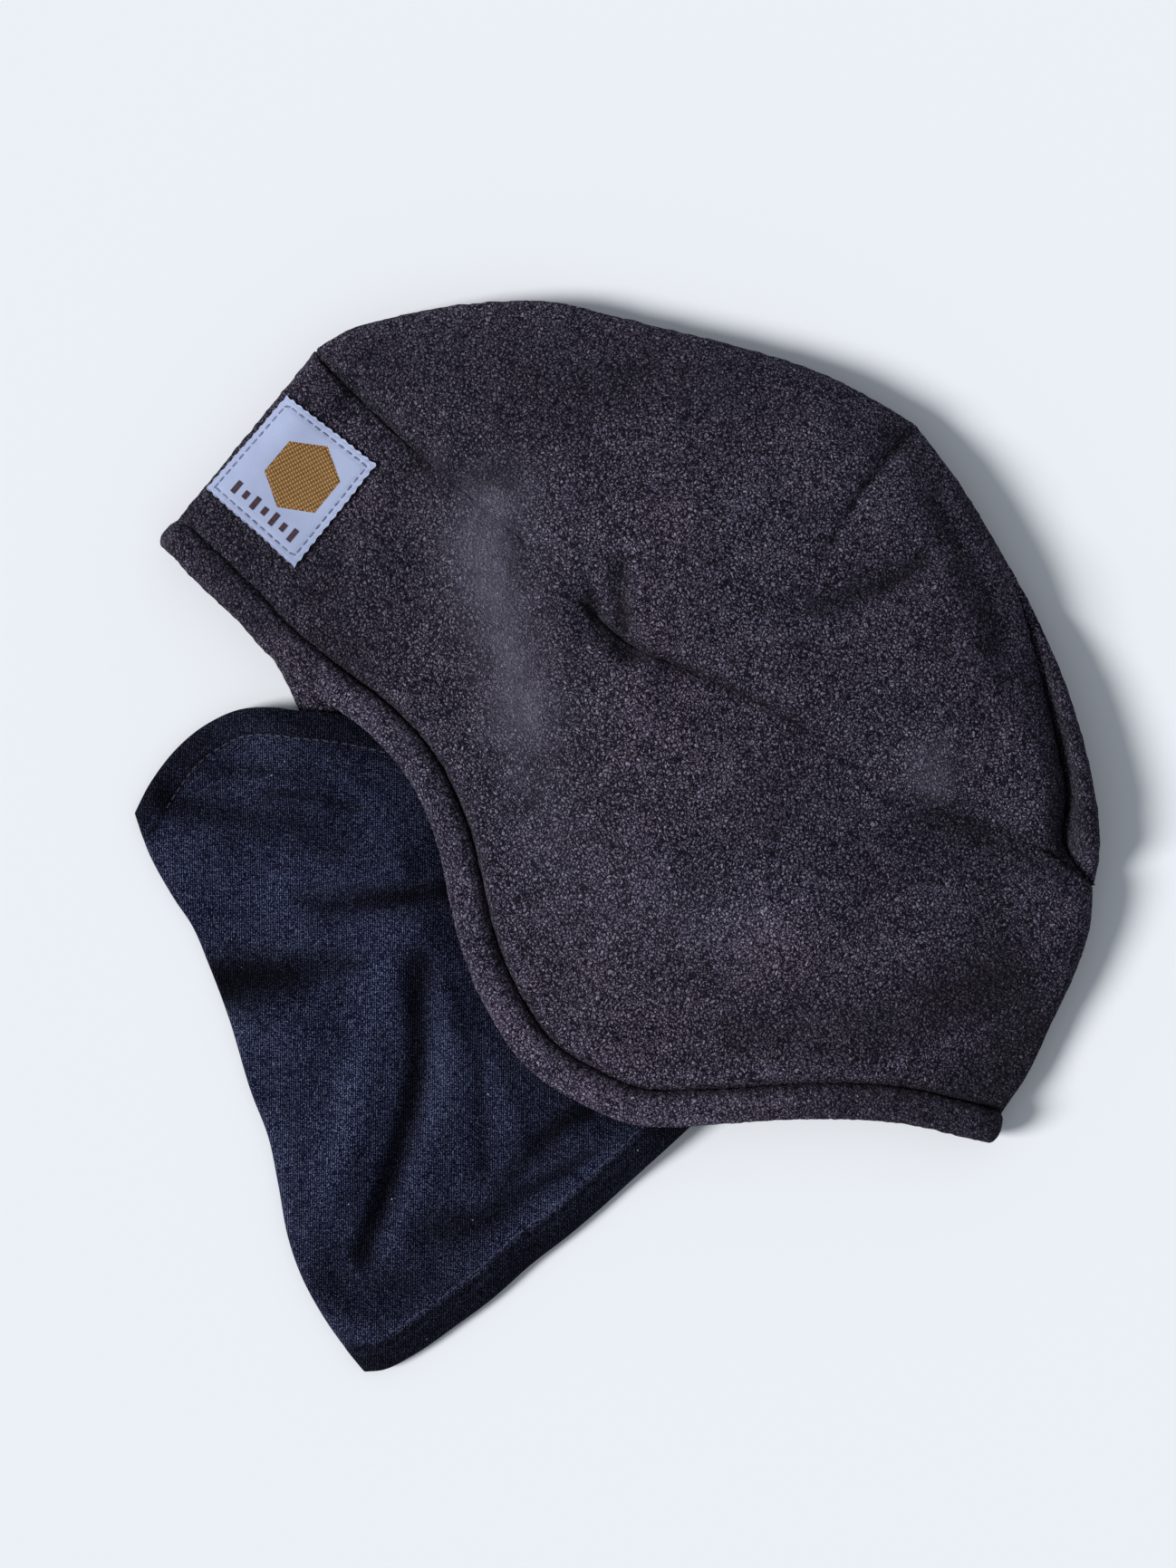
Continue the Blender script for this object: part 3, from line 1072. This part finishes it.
def on_label(i, j, lift):
    """3-D points at shares i, j of the label, lifted off it."""
    x, y = label_point(i, j)
    return np.stack([x, y, label_height(x, y) + lift], axis=-1)


def label_sheet():
    """The satin square, with scalloped edges and a channel where it is sewn."""
    t = spaced(40, 0.3)
    i, j = np.meshgrid(t, t, indexing="ij")
    scallop = 0.007 * np.sin((i + j) * LABEL_W * 2 * math.pi / 3.1) + 0.006 * noise2(i * 30, j * 30, 9, 51)
    grid = on_label(i + scallop * 2 * (i - 0.5), j + scallop * 2 * (j - 0.5), 0.55)
    edge = np.minimum(np.minimum(i, 1 - i), np.minimum(j, 1 - j)) * LABEL_W
    grid[..., 2] += 0.25 * bulge(edge, 1.0) - 0.22 * np.exp(-((edge - 2.0) / 0.6) ** 2)
    points, faces = shell_points(grid, 0.6, 1)
    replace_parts(make_mesh("woven_label_satin", points, faces, LABEL_MAT, "hat", "label"), "woven_label")


def label_emblem():
    """Plain hexagon in raised twill."""
    across, up = np.meshgrid(spaced(24, 0.3) - 0.5, spaced(24, 0.3) - 0.5, indexing="ij")
    i, j = 0.57 + 0.56 * across, 0.57 + 0.62 * up * (1 - np.abs(across))
    rim = np.minimum(0.5 - np.abs(across), 0.5 - np.abs(up)) * LABEL_W * 0.5
    grid = on_label(i, j, 0)
    grid[..., 2] += 0.84 + 0.3 * bulge(rim, 0.8)
    points, faces = shell_points(grid, 0.3, 1)
    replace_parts(make_mesh("emblem_twill", points, faces, LABEL_GOLD, "hat", "label_gold"), "label_emblem")


def label_marks():
    """A row of plain bars, long and short."""
    points, faces = [], []
    for k in range(BAR_COUNT):
        left, tall = 0.2 + BAR_PITCH * k - BAR_W / 2, 0.11 if k % 2 == 0 else 0.065
        i = left + BAR_W * np.array([0, 1, 1, 0])
        j = 0.17 + tall * np.array([-0.5, -0.5, 0.5, 0.5])
        start = 8 * k
        points += [on_label(i, j, 1.0), on_label(i, j, 0.7)]
        faces += [[start + q for q in f] for f in
                  ((0, 1, 2, 3), (7, 6, 5, 4), (0, 4, 5, 1), (1, 5, 6, 2), (2, 6, 7, 3), (3, 7, 4, 0))]
    obj = make_mesh("label_bars", np.vstack(points), faces, LABEL_DARK, "hat", "label_dark", False)
    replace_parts(obj, "label_marks")


def label_threads():
    """Stitches once round the label, a little inside its edge."""
    near, far = 0.055, 1 - 0.055
    corners = [(near, near), (far, near), (far, far), (near, far), (near, near)]
    line = []
    for (a, b), (c, d) in zip(corners, corners[1:]):
        t = np.linspace(0, 1, 20, endpoint=False)
        line.append(on_label(a + (c - a) * t, b + (d - b) * t, 0.62))
    line = np.vstack(line + [line[0][:1]])
    stitches("label_border_threads", line, 3.1, 2.3, 0.36, LABEL_THREAD, "label_border_stitching")


# ---------------------------------------------------------------- build the hat

def lifted(line, height):
    """A plane line's points at this height, or at these heights."""
    return np.column_stack([line, np.broadcast_to(height, len(line))])


def inner_pieces():
    """Overlocked allowances and stitching inside the hat."""
    drop = FLEECE + 1.3
    on_right = FLOOR_GAP + FLEECE + 0.6
    rim = outer_line[6:-4] - left_normals(outer_line)[6:-4] * 7.5
    seam = seam_line[14:-14]
    dart = np.column_stack([np.full(30, 14.0), np.linspace(124, 160, 30)])
    under_seam = left_height(seam[:, 0], seam[:, 1], False) - drop
    under_dart = left_height(dart[:, 0], dart[:, 1], True) - drop - 0.6
    for name, line, height, width, thickness, node in (
            ("centre_seam_allowance", rim, SEAM_Z - 0.8, 5, 1.8, "centre_seam_overlock"),
            ("left_crown_seam_allowance", seam, under_seam, 5, 1.6, "left_crown_seam_overlock"),
            ("right_crown_seam_allowance", seam, on_right, 5, 0.8, "right_crown_seam_overlock"),
            ("left_dart_allowance", dart, under_dart, 4, 1.5, "left_dart_overlock"),
            ("right_dart_allowance", dart, on_right, 4, 0.8, "right_dart_overlock")):
        strip(name, lifted(line, height), width, thickness, HAT_THREAD, node)
    for side, line, height in (("left", left_groove, GROOVE_Z - GROOVE_DEPTH - 0.6),
                               ("right", right_groove, FLOOR_GAP + FLEECE + 0.3)):
        stitches(side + "_binding_threads", lifted(line[8:-8], height), 3.4, 2.3, 0.35, HAT_THREAD,
                 side + "_binding_stitching")


def care_label():
    """A folded ribbon sewn into the back of the centre seam."""
    u, v = np.meshgrid(np.linspace(0, 1, 16), np.linspace(0, 1, 12), indexing="ij")
    x, y = 147 - 30 * u - 2.5 * (v - 0.5), 46 + 20 * v
    z = SEAM_Z + 1.2 + 2.2 * np.sin(u * 2.4) + 0.5 * np.sin(v * 5)
    points, faces = shell_points(np.dstack([x, y, z]), 0.35, -1)
    obj = make_mesh("care_ribbon", points, faces, CARE_MAT, "hat", "care_label")
    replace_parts(obj, "care_label")


def mask_details():
    """Hem stitching, the front seam's allowance and the tacks on the hidden edge."""
    def on_top(line):
        return lifted(line, mask_heights(line[:, 0], line[:, 1])[1] + JERSEY + 0.1)

    mouth = mask_mouth - left_normals(mask_mouth) * (MASK_HEM_W - 0.9)
    neck = mask_neck + left_normals(mask_neck) * (MASK_HEM_W + 0.6)
    inner = (mask_front + left_normals(mask_front) * 3.4)[14:-16]
    low, high = mask_heights(inner[:, 0], inner[:, 1])
    pieces = [
        stitches("mouth_edge_threads", on_top(mouth[6:-2]), 3.0, 2.1, 0.26, FACE_THREAD,
                 "mask_top_stitching"),
        stitches("neck_edge_threads", on_top(neck[9:-2]), 3.0, 2.1, 0.26, FACE_THREAD,
                 "mask_bottom_stitching"),
        strip("mask_front_allowance", lifted(inner, (low + JERSEY + high) / 2), 3.0, 0.35, FACE_THREAD,
              "mask_front_seam_overlock"),
    ]
    for name, x, replaced in (("mask_tack_threads", -40, ["mask_tacks"]), ("mask_tack_threads_back", 50, [])):
        bar = np.column_stack([np.linspace(x, x + 9, 20), np.full(20, 0.8)])
        pieces.append(strip(name, on_top(bar), 1.6, 0.5, FACE_THREAD, *replaced))
    return pieces


crown_left = fleece_panel("left_crown_fleece", *left_crown(), 1, ["left_crown_panel"])
crown_right = fleece_panel("right_crown_fleece", *right_crown(), -1, ["right_crown_panel"])
band = fleece_panel("ear_band_fleece", *band_grid(), -1, ["left_ear_band", "right_ear_band"])
binding = edge_binding()
label_sheet()
label_emblem()
label_marks()
label_threads()
inner_pieces()
care_label()

mask_left = mask_layer("left_mask_jersey", True, "left_mask_panel")
mask_right = mask_layer("right_mask_jersey", False, "right_mask_panel")
details = mask_details()
for piece in [mask_left, mask_right] + details:
    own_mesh(piece)


# ---------------------------------------------------------------- stage, lights and camera

LENS, SENSOR = 70.0, 36.0           # mm
VIEW_TURN = math.radians(34.5)      # of the picture's upright from +Y
VIEW_CENTRE = (-0.0071, 0.0210)     # metres, as are the next two
VIEW_HEIGHT = 0.4876                # what the picture takes in, from its top to its bottom
VIEW_PLANE = 0.010                  # height over the table at which that is so
# Directions on the table: the picture's left, and down the picture.
LEFT = Vector((-0.824, -0.566, 0))
DOWN = Vector((0.566, -0.824, 0))


def floor():
    """A plain pale sheet of paper, far wider than the view."""
    half = 60.0
    mesh = bpy.data.meshes.new("floor")
    corners = [(-half, -half, 0), (half, -half, 0), (half, half, 0), (-half, half, 0)]
    mesh.from_pydata(corners, [], [(0, 1, 2, 3)])
    obj = bpy.data.objects.new("floor", mesh)
    bpy.context.scene.collection.objects.link(obj)
    material = bpy.data.materials.new("pale_paper")
    material.use_nodes = True
    shader = material.node_tree.nodes["Principled BSDF"]
    shader.inputs["Base Color"].default_value = (0.80, 0.83, 0.87, 1)
    shader.inputs["Roughness"].default_value = 0.9
    shader.inputs["Specular IOR Level"].default_value = 0.1
    mesh.materials.append(material)


def softbox(towards_light, strength, spread):
    """A large softbox far away: even light with soft shadows."""
    light = bpy.data.lights.new("key", "SUN")
    light.angle = spread
    light.energy = strength
    light.color = (1.0, 0.985, 0.97)
    obj = bpy.data.objects.new("key", light)
    bpy.context.scene.collection.objects.link(obj)
    obj.rotation_euler = (-Vector(towards_light)).to_track_quat("-Z", "Y").to_euler()


def camera():
    """Straight down, turned as the hat lies in the picture."""
    cam = bpy.data.cameras.new("camera")
    cam.lens = LENS
    cam.sensor_fit = "VERTICAL"
    cam.sensor_height = SENSOR
    obj = bpy.data.objects.new("camera", cam)
    bpy.context.scene.collection.objects.link(obj)
    obj.location = (*VIEW_CENTRE, VIEW_HEIGHT * LENS / SENSOR + VIEW_PLANE)
    obj.rotation_euler = (0, 0, VIEW_TURN)
    bpy.context.scene.camera = obj


def world():
    """Pale light from all round."""
    w = bpy.data.worlds.new("studio")
    w.use_nodes = True
    background = w.node_tree.nodes["Background"]
    background.inputs["Color"].default_value = (0.88, 0.93, 1.0, 1)
    background.inputs["Strength"].default_value = 0.36
    bpy.context.scene.world = w


floor()
world()
softbox(LEFT * 0.80 + DOWN * 0.18 + Vector((0, 0, 0.57)), 4.0, math.radians(20))
camera()
bpy.context.scene.view_settings.view_transform = "Standard"
